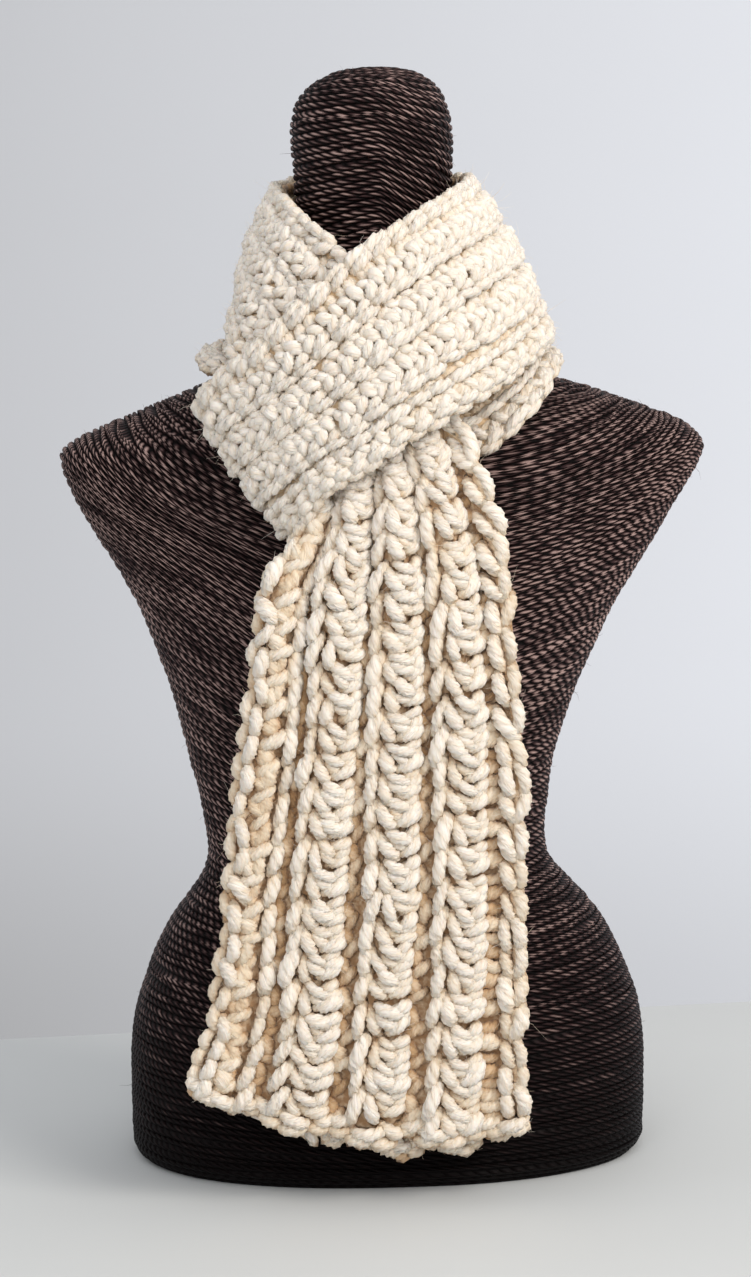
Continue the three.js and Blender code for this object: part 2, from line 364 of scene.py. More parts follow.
def woolYarn():
    # Super bulky wool and acrylic, spun thick and soft and plied loosely: no shine but a pale bloom of
    # fibres, and each strand swells between the slanting grooves of its plies. The yarn is cream; where
    # strands lie deep, and on their sides facing into the cloth, it is painted warmer and darker as
    # painted shade, standing in for the light that reaches them only through other strands.
    look = {
        # painted shade, from proud to sunken
        "depths": [(0.0, "#FAF4EB"), (0.28, "#EFDFC7"), (0.62, "#D0AC82"), (1.0, "#946A44")],
        "grooveShade": "#E4D2B9",
        "girth": 22 * mm,
        "fibreWidth": 1.1 * mm,  # real fibres are about 0.03 mm wide and wouldn't show, so these are tufts
        "fibreLength": 8 * mm,
        "strandsApart": 40.0,  # fibre lengths of the pattern, so that each strand has its own
        "plyRelief": 0.36,
        "fibreRelief": 1.1,
        "grooveBelow": 1.14,
        "bumpDepth": 1.3 * mm,
    }
    material, tree, shader = newMaterial("woolYarn")
    parts = addNode(tree, "SeparateXYZ", [addNode(tree, "UVMap", uv_map="yarn")])
    turn, run = parts.outputs[0], parts.outputs[1]
    sunkShade = addNode(tree, "Attribute", attribute_name="sunkShade").outputs["Fac"]
    tone = addNode(tree, "Attribute", attribute_name="tone").outputs["Fac"]
    # the plies' grooves, in step with the ones in the strands' shape
    spin = addNode(tree, "Math", [turn, 2 * math.pi * yarnShape["plies"]], operation="MULTIPLY")
    perMark = -2 * math.pi / (yarnShape["markGap"] * mm)
    spin = addNode(tree, "Math", [run, perMark, spin], operation="MULTIPLY_ADD")
    startTurn = -2 * math.pi * yarnShape["startTurns"]
    spin = addNode(tree, "Math", [tone, startTurn, spin], operation="MULTIPLY_ADD")
    spin = addNode(tree, "Math", [spin, 0.5], operation="MULTIPLY")
    ply = addNode(tree, "Math", [addNode(tree, "Math", [spin], operation="COSINE")], operation="ABSOLUTE")
    ply = addNode(tree, "Math", [ply, 0.5], operation="POWER")
    # fibres along each ply, a little across the strand
    lean = -0.5 / (yarnShape["plies"] * yarnShape["markGap"] * mm)
    around = addNode(tree, "Math", [run, lean, turn], operation="MULTIPLY_ADD")
    around = addNode(tree, "Math", [around, look["girth"] / look["fibreWidth"]], operation="MULTIPLY")
    along = addNode(tree, "Math", [run, 1 / look["fibreLength"]], operation="MULTIPLY")
    strand = addNode(tree, "Math", [tone, look["strandsApart"]], operation="MULTIPLY")
    place = addNode(tree, "CombineXYZ", [around, along, strand])
    fibres = addNode(tree, "TexNoise", {"Vector": place, "Scale": 1.0, "Detail": 3.0, "Roughness": 0.65})
    raised = addNode(tree, "Math", [fibres, look["fibreRelief"]], operation="MULTIPLY")
    height = addNode(tree, "Math", [ply, look["plyRelief"], raised], operation="MULTIPLY_ADD")
    bump = addNode(tree, "Bump", {"Height": height, "Strength": 1.0, "Distance": look["bumpDepth"]})
    # painted shade in the ply grooves and between fibres, where the relief is low
    hollowShade = addNode(tree, "Math", [look["grooveBelow"], height], operation="SUBTRACT", use_clamp=True)
    # painted shade: warmer and darker the lower a strand lies
    depths = [(place, toLinear(colour)) for place, colour in look["depths"]]
    base = addNode(tree, "ValToRGB", [sunkShade], stops=depths)
    shade = {0: hollowShade, 6: base, 7: toLinear(look["grooveShade"])}
    colour = addNode(tree, "Mix", shade, data_type="RGBA", blend_type="MULTIPLY")
    finish = {
        "Base Color": colour.outputs[2],
        "Normal": bump,
        "Roughness": 0.85,
        "IOR": 1.53,
        "Specular IOR Level": 0.3,
        "Sheen Weight": 0.3,
        "Sheen Roughness": 0.5,
        "Subsurface Weight": 0.12,
        "Subsurface Radius": (1.8 * mm, 1.2 * mm, 0.8 * mm),
        "Subsurface Scale": 1.0,
    }
    feed(tree, shader, finish)
    return material


def backingYarnShade():
    # The insides of the stitches, seen only through the gaps: a sheet standing in for the same yarn,
    # matted, with paler lumps, painted tan as painted shade, and in deeper warm painted shade where the
    # gathers shut it in.
    look = {
        # painted shade: tan where the backing shows in the gaps, brown where the gathers shut it in
        "open": "#D9BE98",
        "shut": "#96704C",
        "loop": "#EAD6B8",
        "loopSize": 3.2 * mm,
        "loopRange": (0.42, 0.75, 0.0, 0.7),  # where lumps start and stop to pale, and how much there
        "bumpDepth": 1.8 * mm,
    }
    material, tree, shader = newMaterial("backingYarnShade")
    place = addNode(tree, "TexCoord").outputs["Object"]
    lumps = addNode(tree, "TexNoise", {"Vector": place, "Scale": 1 / look["loopSize"], "Detail": 4.0})
    shut = addNode(tree, "Attribute", attribute_name="shut").outputs["Fac"]
    # painted shade, deeper where the gathers shut the backing in
    between = {0: shut, 6: toLinear(look["open"]), 7: toLinear(look["shut"])}
    base = addNode(tree, "Mix", between, data_type="RGBA")
    light = addNode(tree, "MapRange", [lumps, *look["loopRange"]])
    lit = {0: light, 6: base.outputs[2], 7: toLinear(look["loop"])}
    colour = addNode(tree, "Mix", lit, data_type="RGBA")
    bump = addNode(tree, "Bump", {"Height": lumps, "Strength": 1.0, "Distance": look["bumpDepth"]})
    feed(tree, shader, {"Base Color": colour.outputs[2], "Normal": bump, "Roughness": 0.9})
    return material


# the dress form's windings, in mm; the rise is their climb to the shoulders, as a share of the whole height
twine = {
    "pitch": 4.1,
    "rowsPerWinding": 4,
    "columns": 112,
    "depth": 1.8,
    "sink": 0.55,  # how much of the depth lies under the form's own surface
    "plyLength": 6.6,
    "riseAt": 0.52,
    "riseReach": 0.13,
    "riseLeft": 0.075,
    "riseRight": 0.055,
    "wander": 0.5,
    "wanderSteps": 24,  # round the form
    "wanderSwell": 0.18,  # how much thicker a winding is where it wanders up
    "wanderFrom": 6,  # from the base and the top
    "hairs": 900,
    "hairRows": 8,  # rows without hairs at the base and the top
}


def dyedTwine():
    # Two-ply twine of a coarse leaf fibre, dyed dark brown and wound on tight: each winding shows its plies
    # as long slanting spindles with a dull shine along the fibres, mostly a painted highlight on each
    # spindle's crown, with painted shade in the gaps between them. The dye took unevenly at random; painted
    # shade darkens the colour toward the base, and it is also a little darker at the neck.
    look = {
        "gap": "#060202",
        "wearAndShading": [(0.18, "#060202"), (0.5, "#392828"), (0.95, "#A48A83")],  # painted shade in the gap, the body, and the crown of a ply, pale with wear and a painted highlight
        "plyLean": 1.45,  # plies, over the width of a winding
        "plyDrift": 2.2,  # plies, so that they don't line up
        "rowShift": 0.377,  # plies, from one winding to the next
        "archLean": 1.2,  # over 1, so that a winding's crest, and the painted highlight on it, sits a little above its middle
        "archPower": 0.6,  # under 1, for a broad crest
        "blotches": 14.0,  # to a metre of winding
        "blotchShift": 1.37,
        "fibresAcross": 9.0,  # bundles to a winding, because single fibres are too fine to show
        "fibreLength": 6 * mm,
        "fibreRelief": 0.35,
        "bumpDepth": 1.4 * mm,
        "blotchWear": 1.1,
        "leastWear": 0.05,
        "fibreWear": 0.55,
        "plyWear": (0.75, 0.5),  # the least for a spindle, and what chance adds
        "shadeDimming": 0.55,  # how much less shows where the dye soaked in
        "tall": 650 * mm,
        # how dark the colour is painted, by height: painted shade toward the base, and a little darker at the
        # neck
        "shadeByHeight": [(4 * mm, 1.0), (110 * mm, 0.4), (250 * mm, 0.0), (440 * mm, 0.0), (540 * mm, 0.2)],
    }
    material, tree, shader = newMaterial("dyedTwine")
    parts = addNode(tree, "SeparateXYZ", [addNode(tree, "UVMap", uv_map="twine")])
    run, wound = parts.outputs[0], parts.outputs[1]
    winding = addNode(tree, "Math", [wound], operation="FLOOR")
    across = addNode(tree, "Math", [wound], operation="FRACT")
    lean = addNode(tree, "Math", [across, look["plyLean"]], operation="MULTIPLY")
    shifted = addNode(tree, "Math", [winding, look["blotchShift"]], operation="MULTIPLY")
    patch = addNode(tree, "CombineXYZ", [run, shifted])
    uneven = addNode(tree, "TexNoise", {"Vector": patch, "Scale": look["blotches"], "Detail": 2.0})
    # spindles: one for each ply, leaning over the winding
    phase = addNode(tree, "Math", [run, 1 / (twine["plyLength"] * mm), lean], operation="MULTIPLY_ADD")
    phase = addNode(tree, "Math", [winding, look["rowShift"], phase], operation="MULTIPLY_ADD")
    phase = addNode(tree, "Math", [uneven, look["plyDrift"], phase], operation="MULTIPLY_ADD")
    # some spindles are paler than their neighbours
    number = addNode(tree, "Math", [phase], operation="FLOOR")
    mark = addNode(tree, "CombineXYZ", [number, winding])
    chance = addNode(tree, "TexWhiteNoise", {"Vector": mark}, noise_dimensions="2D")
    phase = addNode(tree, "Math", [phase, math.pi], operation="MULTIPLY")
    ply = addNode(tree, "Math", [addNode(tree, "Math", [phase], operation="SINE")], operation="ABSOLUTE")
    arch = addNode(tree, "Math", [across, look["archLean"]], operation="POWER")
    arch = addNode(tree, "Math", [arch, math.pi], operation="MULTIPLY")
    arch = addNode(tree, "Math", [arch], operation="SINE")
    arch = addNode(tree, "Math", [arch, look["archPower"]], operation="POWER")
    spindle = addNode(tree, "Math", [ply, arch], operation="MULTIPLY")
    along = addNode(tree, "Math", [run, 1 / look["fibreLength"], lean], operation="MULTIPLY_ADD")
    over = addNode(tree, "Math", [wound, look["fibresAcross"]], operation="MULTIPLY")
    fibrePlace = addNode(tree, "CombineXYZ", [along, over])
    fibres = addNode(tree, "TexNoise", {"Vector": fibrePlace, "Scale": 1.0, "Detail": 3.0})
    height = addNode(tree, "Math", [fibres, look["fibreRelief"], spindle], operation="MULTIPLY_ADD")
    bump = addNode(tree, "Bump", {"Height": height, "Strength": 1.0, "Distance": look["bumpDepth"]})
    # the colour of a ply: a painted highlight on the spindles' crowns, paler at random in blotches, fibres
    # and single spindles, and painted shade in the gaps; the painted shade by height dims it toward the base,
    # and a little at the neck
    up = addNode(tree, "SeparateXYZ", [addNode(tree, "TexCoord").outputs["Object"]]).outputs[2]
    up = addNode(tree, "Math", [up, 1 / look["tall"]], operation="MULTIPLY")
    shares = [(place / look["tall"], (share, share, share, 1)) for place, share in look["shadeByHeight"]]
    shadeByHeight = addNode(tree, "ValToRGB", [up], stops=shares)
    wearAndHighlight = addNode(tree, "Math", [uneven, look["blotchWear"], look["leastWear"]], operation="MULTIPLY_ADD")
    wearAndHighlight = addNode(tree, "Math", [fibres, look["fibreWear"], wearAndHighlight], operation="MULTIPLY_ADD")
    wearAndHighlight = addNode(tree, "Math", [wearAndHighlight, spindle], operation="MULTIPLY")
    least, more = look["plyWear"]
    share = addNode(tree, "Math", [chance, more, least], operation="MULTIPLY_ADD")
    wearAndHighlight = addNode(tree, "Math", [wearAndHighlight, share], operation="MULTIPLY")
    unshaded = addNode(tree, "Math", [shadeByHeight, -look["shadeDimming"], 1.0], operation="MULTIPLY_ADD")
    wearAndHighlight = addNode(tree, "Math", [wearAndHighlight, unshaded], operation="MULTIPLY")
    wearAndShading = [(place, toLinear(colour)) for place, colour in look["wearAndShading"]]
    ramp = addNode(tree, "ValToRGB", [wearAndHighlight], stops=wearAndShading)
    shadeByHeight = addNode(tree, "Math", [shadeByHeight, 2.0], operation="POWER")
    # painted shade: toward the base the colour sinks to the gap's near black
    dark = {0: shadeByHeight, 6: ramp, 7: toLinear(look["gap"])}
    colour = addNode(tree, "Mix", dark, data_type="RGBA")
    dull = {"Roughness": 0.55, "Specular IOR Level": 0.08}
    feed(tree, shader, {"Base Color": colour.outputs[2], "Normal": bump, **dull})
    return material


def backdropPaper():
    # Matt paper in a soft grey: no shine and no texture but a faint mottle. It is painted paler toward the
    # upper right and darker toward the lower left, as painted light from the right and painted shade low on
    # the left.
    look = {
        "dark": "#ADADAD",
        "pale": "#EEF0F4",
        "mottle": 0.5,
        "mottleShare": 0.05,
        # the places in metres where the painted light starts and stops, and its values there
        "upward": (-1.0, -0.25, -0.34, 0.0),
        "sideways": (-0.5, 1.2, 0.4, 1.0),
    }
    material, tree, shader = newMaterial("backdropPaper")
    place = addNode(tree, "TexCoord").outputs["Object"]
    parts = addNode(tree, "SeparateXYZ", [place])
    cloud = addNode(tree, "TexNoise", {"Vector": place, "Scale": 1 / look["mottle"], "Detail": 2.0})
    # painted light and shade: darker low down and toward the left
    foot = addNode(tree, "MapRange", [parts.outputs[2], *look["upward"]], interpolation_type="SMOOTHSTEP")
    side = addNode(tree, "MapRange", [parts.outputs[0], *look["sideways"]])
    paintedLight = addNode(tree, "Math", [side, foot], operation="ADD")
    mottled = [cloud, look["mottleShare"], paintedLight]
    paintedLight = addNode(tree, "Math", mottled, operation="MULTIPLY_ADD", use_clamp=True)
    between = {0: paintedLight, 6: toLinear(look["dark"]), 7: toLinear(look["pale"])}
    colour = addNode(tree, "Mix", between, data_type="RGBA")
    feed(tree, shader, {"Base Color": colour.outputs[2], "Roughness": 0.9})
    return material


def mattEmulsion():
    # A table board in matt emulsion, rolled on: even and pale, with a faint mottle from the roller.
    look = {"low": "#C4C6C5", "high": "#CBCDCC", "mottle": 0.25}
    material, tree, shader = newMaterial("mattEmulsion")
    place = addNode(tree, "TexCoord").outputs["Object"]
    cloud = addNode(tree, "TexNoise", {"Vector": place, "Scale": 1 / look["mottle"], "Detail": 3.0})
    between = {0: cloud, 6: toLinear(look["low"]), 7: toLinear(look["high"])}
    colour = addNode(tree, "Mix", between, data_type="RGBA")
    feed(tree, shader, {"Base Color": colour.outputs[2], "Roughness": 0.75})
    return material


woolMaterial = woolYarn()
backingMaterial = backingYarnShade()
twineMaterial = dyedTwine()
print("made materials")

# each strand of a stitch 16 mm long: along, across, height and half thickness in mm from the stitch's place
shapePitch = 16
strandShapes = {
    "chain": [
        (-3.5, 7.2, 0.0, 2.6),
        (0, 6.9, 3.4, 3.4),
        (5, 5.9, 5.4, 3.9),
        (11, 4.9, 5.8, 3.8),
        (16, 4.1, 4.0, 3.2),
        (20, 3.6, -0.6, 2.2),
    ],
    "post": [
        (-1, 9.6, -0.4, 2.6),
        (3, 10.0, 2.8, 3.4),
        (7.5, 11.0, 4.6, 3.9),
        (11.5, 12.6, 4.2, 3.8),
        (15.5, 14.6, -0.4, 2.6),
    ],
    "veeArm": [
        (-3.0, 12.0, 0.0, 2.4),
        (-0.8, 13.2, 4.2, 3.4),
        (1.6, 15.6, 5.8, 3.9),
        (3.4, 18.8, 4.8, 3.5),
        (3.2, 21.4, 0.2, 2.4),
    ],
    "upperBump": [
        (2.4, 17.2, 0.6, 2.5),
        (1.2, 19.4, 4.4, 3.4),
        (-0.8, 22.0, 5.6, 4.0),
        (-2.0, 24.6, 4.0, 3.6),
        (-2.2, 26.6, -0.8, 2.6),
    ],
    "lowerBump": [
        (11.8, 15.6, 0.0, 2.7),
        (10.4, 18.2, 4.6, 3.8),
        (8.4, 21.4, 6.0, 4.5),
        (6.8, 24.6, 4.8, 4.2),
        (6.4, 27.0, -0.4, 2.9),
    ],
    "veeTwin": [
        (2.2, 12.6, -0.6, 2.2),
        (4.6, 13.8, 3.2, 3.0),
        (7.0, 16.2, 4.6, 3.4),
        (8.6, 19.2, 3.6, 3.1),
        (8.2, 21.6, -0.6, 2.2),
    ],
    "bumpTwin": [
        (6.8, 17.8, 0.0, 2.5),
        (5.6, 20.0, 4.0, 3.4),
        (4.0, 22.6, 5.2, 3.9),
        (2.8, 25.2, 3.8, 3.5),
        (2.6, 27.4, -0.8, 2.5),
    ],
    "deepUpper": [
        (0.6, 27.2, -2.4, 2.9),
        (2.6, 28.6, 0.2, 3.8),
        (5.4, 30.2, 1.2, 4.2),
        (8.4, 31.6, 0.4, 3.8),
        (10.8, 32.4, -2.4, 2.8),
    ],
    "deepLower": [
        (17.6, 26.8, -1.8, 2.3),
        (15.2, 29.2, 1.2, 3.1),
        (12.4, 32.2, 2.4, 3.4),
        (9.6, 35.2, 2.6, 3.1),
        (7.0, 37.8, -0.4, 2.2),
    ],
    "wideBar": [
        (8.4, 25.0, -2.0, 3.0),
        (7.2, 27.8, 1.2, 4.2),
        (6.6, 31.6, 1.9, 4.7),
        (7.2, 35.6, 1.2, 4.2),
        (8.4, 39.0, -2.0, 2.9),
    ],
    "thinBar": [
        (-2.4, 25.0, -1.2, 2.2),
        (-0.6, 27.8, 2.1, 3.0),
        (0.3, 31.8, 3.0, 3.2),
        (-0.4, 35.8, 2.2, 3.0),
        (-2.0, 39.4, -1.2, 2.3),
    ],
    "narrowUpper": [
        (-5.5, 9.4, -2.2, 2.8),
        (-2.0, 10.6, 0.8, 3.7),
        (2.0, 11.8, 1.4, 4.1),
        (6.0, 12.2, 0.6, 3.7),
        (9.5, 12.4, -2.2, 2.8),
    ],
    "narrowLower": [
        (12.8, 8.4, -1.6, 2.4),
        (10.8, 11.0, 1.2, 3.2),
        (8.8, 13.8, 1.0, 3.2),
        (7.6, 16.4, -1.8, 2.3),
    ],
    "leftFill": [
        (-7, 29.5, -1.6, 2.9),
        (-2.5, 30.6, 0.6, 3.9),
        (3, 31.0, 0.9, 4.2),
        (8, 30.4, 0.2, 3.8),
        (12, 29.4, -1.8, 2.8),
    ],
    "leftOuter": [
        (-10, 4.2, -0.8, 2.4),
        (-5.5, 2.6, 2.8, 3.3),
        (0, 1.6, 3.6, 3.7),
        (5, 2.0, 2.6, 3.3),
        (9.5, 3.8, -1.0, 2.4),
    ],
    "leftInner": [
        (-4, 5.2, -0.4, 2.5),
        (0.5, 6.6, 4.2, 3.5),
        (5.5, 7.4, 5.4, 3.9),
        (10.5, 6.8, 4.2, 3.5),
        (15, 5.2, -0.6, 2.5),
    ],
    "leftBack": [
        (-8, 3.6, 0.0, 2.6),
        (-3, 2.6, -1.4, 3.0),
        (3, 2.6, -1.6, 3.1),
        (8.5, 3.6, -0.4, 2.6),
    ],
    "rightInner": [
        (-5.5, 1.4, -0.6, 2.6),
        (-2, 2.6, 3.8, 3.7),
        (3, 4.4, 5.2, 4.1),
        (8, 6.2, 4.2, 3.7),
        (12.5, 8.0, -0.6, 2.6),
    ],
    "rightOuter": [
        (-9, 7.8, -0.4, 2.6),
        (-4.5, 9.4, 3.4, 3.6),
        (1.5, 10.6, 4.2, 4.0),
        (7.5, 10.2, 3.4, 3.7),
        (12.5, 8.4, -0.6, 2.6),
    ],
    "rightBack": [
        (-7, 7.4, 0.4, 3.0),
        (-2, 8.6, 0.0, 3.6),
        (4, 8.8, -0.2, 3.7),
        (10, 7.6, 0.0, 3.0),
    ],
}
# the twins are laid only on the front tail, where the strands beside them are thinner
ribFront = ["chain", "post", "veeArm", "upperBump", "lowerBump"]
twinStrands = ["veeTwin", "bumpTwin"]
besideTwins = {"strands": ["veeArm", "upperBump", "lowerBump"], "thickness": 0.88}
fullRib = [*ribFront, "deepUpper", "deepLower", *twinStrands]
lastRib = [*ribFront, "wideBar", "thinBar", *twinStrands]
leftEdge = ["leftOuter", "leftInner", "leftBack"]
rightEdge = ["rightInner", "rightOuter", "rightBack"]
# which strands lie at each place across the cloth, in mm from its left edge
columns = [
    (0, leftEdge),
    (-18.5, ["deepUpper", "deepLower"]),
    (-17, ["leftFill"]),
    (18, ["chain", "narrowUpper", "narrowLower"]),
    (34.5, fullRib),
    (71.5, fullRib),
    (108.5, lastRib),
    (146, rightEdge),
]
sunkenStrands = ["deepUpper", "deepLower", "wideBar", "thinBar", "narrowUpper", "narrowLower", "leftFill"]
sunkenFullness = 0.1
backStrands = ["chain", "veeArm", "lowerBump", "deepUpper"]


def shapeRings(shape, count):
    points = np.array(shape, float)
    return splinePoints(points, np.linspace(0, len(points) - 1, count))


def settle(half, layout, strands, finish):
    # strands in the cloth's own measures, put in place: lines, face normals, radii, and the levels that set
    # their painted shade
    along, across, height, radius = (strands[..., i] for i in range(4))
    centre, normal = clothFrame(half, along, across)
    station = np.interp(along, courses[half]["run"], courses[half]["stations"])
    pressed = np.interp(station, pressedStations, pressedShares)
    if finish["face"] > 0:
        lift = height * finish["relief"] * pressed
    else:
        lift = -(crochet["underside"] + height * finish["relief"])
    # the level sets how much painted shade a strand gets
    ripple = yarnShape["rippleShare"] * rippleAt(half, along, across)
    level = height + ripple + layouts[layout]["open"]
    return centre + normal * lift[..., None], normal * finish["face"], radius * finish["thickness"], level


# spread of the strands' places, in mm, by stitch and by strand, and of their shapes, as shares or radians;
# the waves are slow ones, with their size, their turn for each mm and their shift for each mm across
jitter = {
    "stagger": 0.71,
    "waveAlong": (0.9, 0.071, 1.0),
    "waveAcross": (0.7, 0.043, 1.7),
    "stitchAlong": 0.5,
    "stitchAcross": 0.35,
    "along": 0.4,
    "across": 0.3,
    "height": 0.45,
    "size": 0.06,
    "tilt": 0.11,
    "chainShare": 0.4,
    "thickness": 0.06,
}


def strandBase(name, look, finish):
    # one strand's rings, at this layout's pitch, relief and thickness
    base = shapeRings(strandShapes[name], finish["rings"])
    base[:, 0] *= look["pitch"] / shapePitch
    base[:, 2] *= look["heights"]
    base[:, 3] *= look["fullness"] + (sunkenFullness if name in sunkenStrands else 0)
    if finish["twins"] and name in besideTwins["strands"]:
        base[:, 3] *= besideTwins["thickness"]
    return base


def slowWave(kind, anchors, place):
    size, turn, shift = jitter[kind]
    return size * np.sin(anchors * turn + shift * place)


def oneEach(base, along, across, uneven, tiltShare):
    # a strand for each stitch, with a size, tilt, place, height and thickness of its own
    count = len(along)
    strand = np.repeat(base[None], count, axis=0)
    middle = strand[:, :, :2].mean(axis=1, keepdims=True)
    arm = (strand[:, :, :2] - middle) * randomDraw.normal(1, jitter["size"], (count, 1, 1))
    tilt = randomDraw.normal(0, jitter["tilt"] * uneven, (count, 1)) * tiltShare
    strand[..., 0] = middle[..., 0] + arm[..., 0] * np.cos(tilt) - arm[..., 1] * np.sin(tilt)
    strand[..., 1] = middle[..., 1] + arm[..., 0] * np.sin(tilt) + arm[..., 1] * np.cos(tilt)
    strand[..., 0] += (along + randomDraw.normal(0, jitter["along"], count))[:, None]
    strand[..., 1] += (across + randomDraw.normal(0, jitter["across"], count))[:, None]
    strand[..., 2] += randomDraw.normal(0, jitter["height"] * uneven, (count, 1))
    strand[..., 3] *= randomDraw.normal(1, jitter["thickness"] * uneven, (count, 1))
    return strand


def layStrands(half, layout, first, last, finish, places):
    rows = []
    look = layouts[layout]
    pitch, uneven = look["pitch"], look["unevenness"]
    for place, names in places:
        offset = (place * jitter["stagger"]) % pitch
        low = math.ceil((first - offset) / pitch)
        high = math.ceil((last - offset) / pitch)
        anchors = np.arange(low, high) * pitch + offset
        count = len(anchors)
        drift = slowWave("waveAlong", anchors, place)
        drift += randomDraw.normal(0, jitter["stitchAlong"] * uneven, count)
        aside = slowWave("waveAcross", anchors, place)
        aside += randomDraw.normal(0, jitter["stitchAcross"] * uneven, count)
        for name in names:
            if name in twinStrands and not finish["twins"]:
                continue
            tiltShare = jitter["chainShare"] if name == "chain" else 1
            base = strandBase(name, look, finish)
            strand = oneEach(base, anchors + drift, place + aside, uneven, tiltShare)
            if name.startswith("deep"):
                strand[..., 2] += look["valleyLift"]
            rows.append(strand)
    return settle(half, layout, np.concatenate(rows), finish)


# loose fibres, in mm, drawn several times as thick as the real ones so that they show
woolHair = {"length": 3.8, "thickness": 0.22, "spread": 0.7, "curl": 0.6, "sunken": 0.5}
twineHair = {"length": 2.6, "thickness": 0.2, "spread": 0.9, "curl": 0.4}
hairShape = {
    "outward": 0.75,
    "evenness": 3,
    "shortest": 1.0,
    "longest": 2.5,  # times the usual length
    "root": 0.4,
    "bend": (0.5, 0.2),  # the middle, as shares of the hair and of its curl
    "taper": (1.0, 0.8, 0.35),
}


def looseHairs(roots, outward, hair):
    # fine bent prisms with three sides, rooted in a surface: points, faces round them and their two ends
    count = len(roots)
    way = unit(hairShape["outward"] * outward + randomDraw.normal(0, hair["spread"], (count, 3)))
    curl = np.cross(way, randomDraw.normal(0, 1, (count, 3))) * hair["curl"]
    length = randomDraw.gamma(hairShape["evenness"], hair["length"] / hairShape["evenness"], count)
    length = np.clip(length, hairShape["shortest"], hairShape["longest"] * hair["length"])[:, None]
    straight, curled = hairShape["bend"]
    middle = roots + length * (straight * way + curled * curl)
    tip = roots + length * (way + curl)
    line = np.stack([roots - hairShape["root"] * outward, middle, tip], axis=1)
    side = unit(np.cross(way, outward + 0.01))
    other = np.cross(side, way)
    turn = 2 * math.pi * np.arange(3) / 3
    ring = np.cos(turn)[None, :, None] * side[:, None] + np.sin(turn)[None, :, None] * other[:, None]
    thick = np.array(hairShape["taper"]) * hair["thickness"] / 2
    points = line[:, :, None] + ring[:, None] * thick[None, :, None, None]
    return points.reshape(-1, 3), *tubeFaces(np.arange(count * 9).reshape(count, 3, 3))


def hairyMesh(name, tubes, hairs):
    # one mesh of tubes and loose hairs, and the number of its corners that carry no pattern; tubes holds
    # points by tube, ring and side
    points, hairQuads, hairEnds = hairs
    total = tubes.size // 3
    quads, caps = tubeFaces(np.arange(total).reshape(tubes.shape[:3]))
    points = np.concatenate([tubes.reshape(-1, 3), points]) * mm
    allQuads = np.concatenate([quads, hairQuads + total])
    piece = meshFrom(name, points, allQuads, [caps, hairEnds + total])
    return piece, hairQuads.size + caps.size + hairEnds.size


def strandAxes(lines, normals):
    # directions to the side of each strand and out of the cloth, and the run along it
    tangent = unit(np.gradient(lines, axis=1))
    side = unit(np.cross(tangent, normals))
    step = np.linalg.norm(np.diff(lines, axis=1), axis=2)
    run = np.concatenate([np.zeros((len(lines), 1)), np.cumsum(step, axis=1)], axis=1)
    return side, np.cross(side, tangent), run


def plyTubes(lines, side, up, radius, run, tone, sides):
    # the rings turn with the plies, so that the grooves between plies run along the mesh's own edges
    plies = yarnShape["plies"]
    twist = 2 * math.pi * run / yarnShape["markGap"] + 2 * math.pi * yarnShape["startTurns"] * tone[:, None]
    steps = (math.pi + 2 * math.pi * plies * np.arange(sides + 1) / sides) / plies
    turn = steps + twist[..., None] / plies
    lobes = 1 + yarnShape["lobe"] * np.cos(plies * steps[:-1])
    ring = np.cos(turn)[..., :-1, None] * side[:, :, None] + np.sin(turn)[..., :-1, None] * up[:, :, None]
    return lines[:, :, None] + ring * (radius[..., None] * lobes)[..., None], turn


def ringCorners(u, v):
    # the corners of the faces between rings, in the order that tubeFaces gives
    corners = [u[:, :-1, :-1], v[:, :-1, :-1], u[:, :-1, 1:], v[:, :-1, 1:]]
    corners += [u[:, 1:, 1:], v[:, 1:, 1:], u[:, 1:, :-1], v[:, 1:, :-1]]
    return np.stack(corners, axis=-1).reshape(-1, 2)


def yarnMesh(name, batches, finish):
    lines, normals, radius, level = (np.concatenate([b[i] for b in batches]) for i in range(4))
    count, rings = radius.shape
    tone = randomDraw.uniform(0, 1, count)
    side, up, run = strandAxes(lines, normals)
    tubes, turn = plyTubes(lines, side, up, radius, run, tone, finish["sides"])
    # hairs stand on the outer side of a strand, clear of its ends
    hairCount = round(count * finish["hairs"])
    i, j = randomDraw.integers(0, count, hairCount), randomDraw.integers(2, rings - 2, hairCount)
    aim = randomDraw.uniform(0.1 * math.pi, 0.9 * math.pi, hairCount)[:, None]
    outward = np.cos(aim) * side[i, j] + np.sin(aim) * up[i, j]
    hairs = looseHairs(lines[i, j] + outward * radius[i, j, None], outward, woolHair)
    perHair = len(hairs[0]) // hairCount
    piece, rest = hairyMesh(name, tubes, hairs)
    u = turn / (2 * math.pi)
    v = run[..., None] * mm + 0 * u
    giveUv(piece, "yarn", np.concatenate([ringCorners(u, v), np.zeros((rest, 2))]))
    # painted shade: fuller where a strand lies low, and on its side facing into the cloth
    surface = level[..., None] + yarnShape["roundness"] * radius[..., None] * np.sin(turn[..., :-1])
    sunkShade = 1 - smoothStep(yarnShape["sunken"], yarnShape["proud"], surface)
    # the loose hairs take part of their strand's painted shade
    hairShade = np.repeat(woolHair["sunken"] * sunkShade[i, j, 0], perHair)
    giveValue(piece, "sunkShade", np.concatenate([sunkShade.reshape(-1), hairShade]))
    tones = np.broadcast_to(tone[:, None, None], sunkShade.shape)
    giveValue(piece, "tone", np.concatenate([tones.reshape(-1), np.repeat(tone[i], perHair)]))
    piece.data.materials.append(woolMaterial)
    return piece


